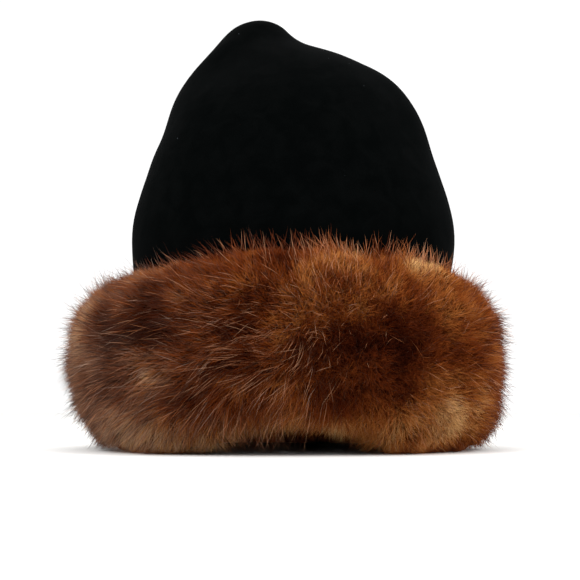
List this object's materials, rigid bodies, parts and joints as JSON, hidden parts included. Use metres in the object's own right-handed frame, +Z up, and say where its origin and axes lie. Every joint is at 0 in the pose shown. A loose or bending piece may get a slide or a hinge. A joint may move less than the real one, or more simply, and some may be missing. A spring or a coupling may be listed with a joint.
{
  "type": "felt cap with fur cuff",
  "caption": "Tall soft cap of black velour felt with a leaning rounded peak, turned up in a deep brown fur cuff that rests level and leaves the head opening free.",
  "frame": {"origin": "middle of the cap's box at the level that the cuff rests on", "axes": "+Z up to the peak, -Y the face side, +Y the back, +X the wearer's left"},
  "size_m": [0.2655, 0.2821, 0.275],
  "materials": {
    "felt": "black velour felt, short dense nap, matt",
    "fur": "red-brown fur with dark guard hairs and tan underfur"
  },
  "bodies": {
    "root": {"felt_crown": "felt", "fur_cuff": "fur"}
  },
  "joints": []
}
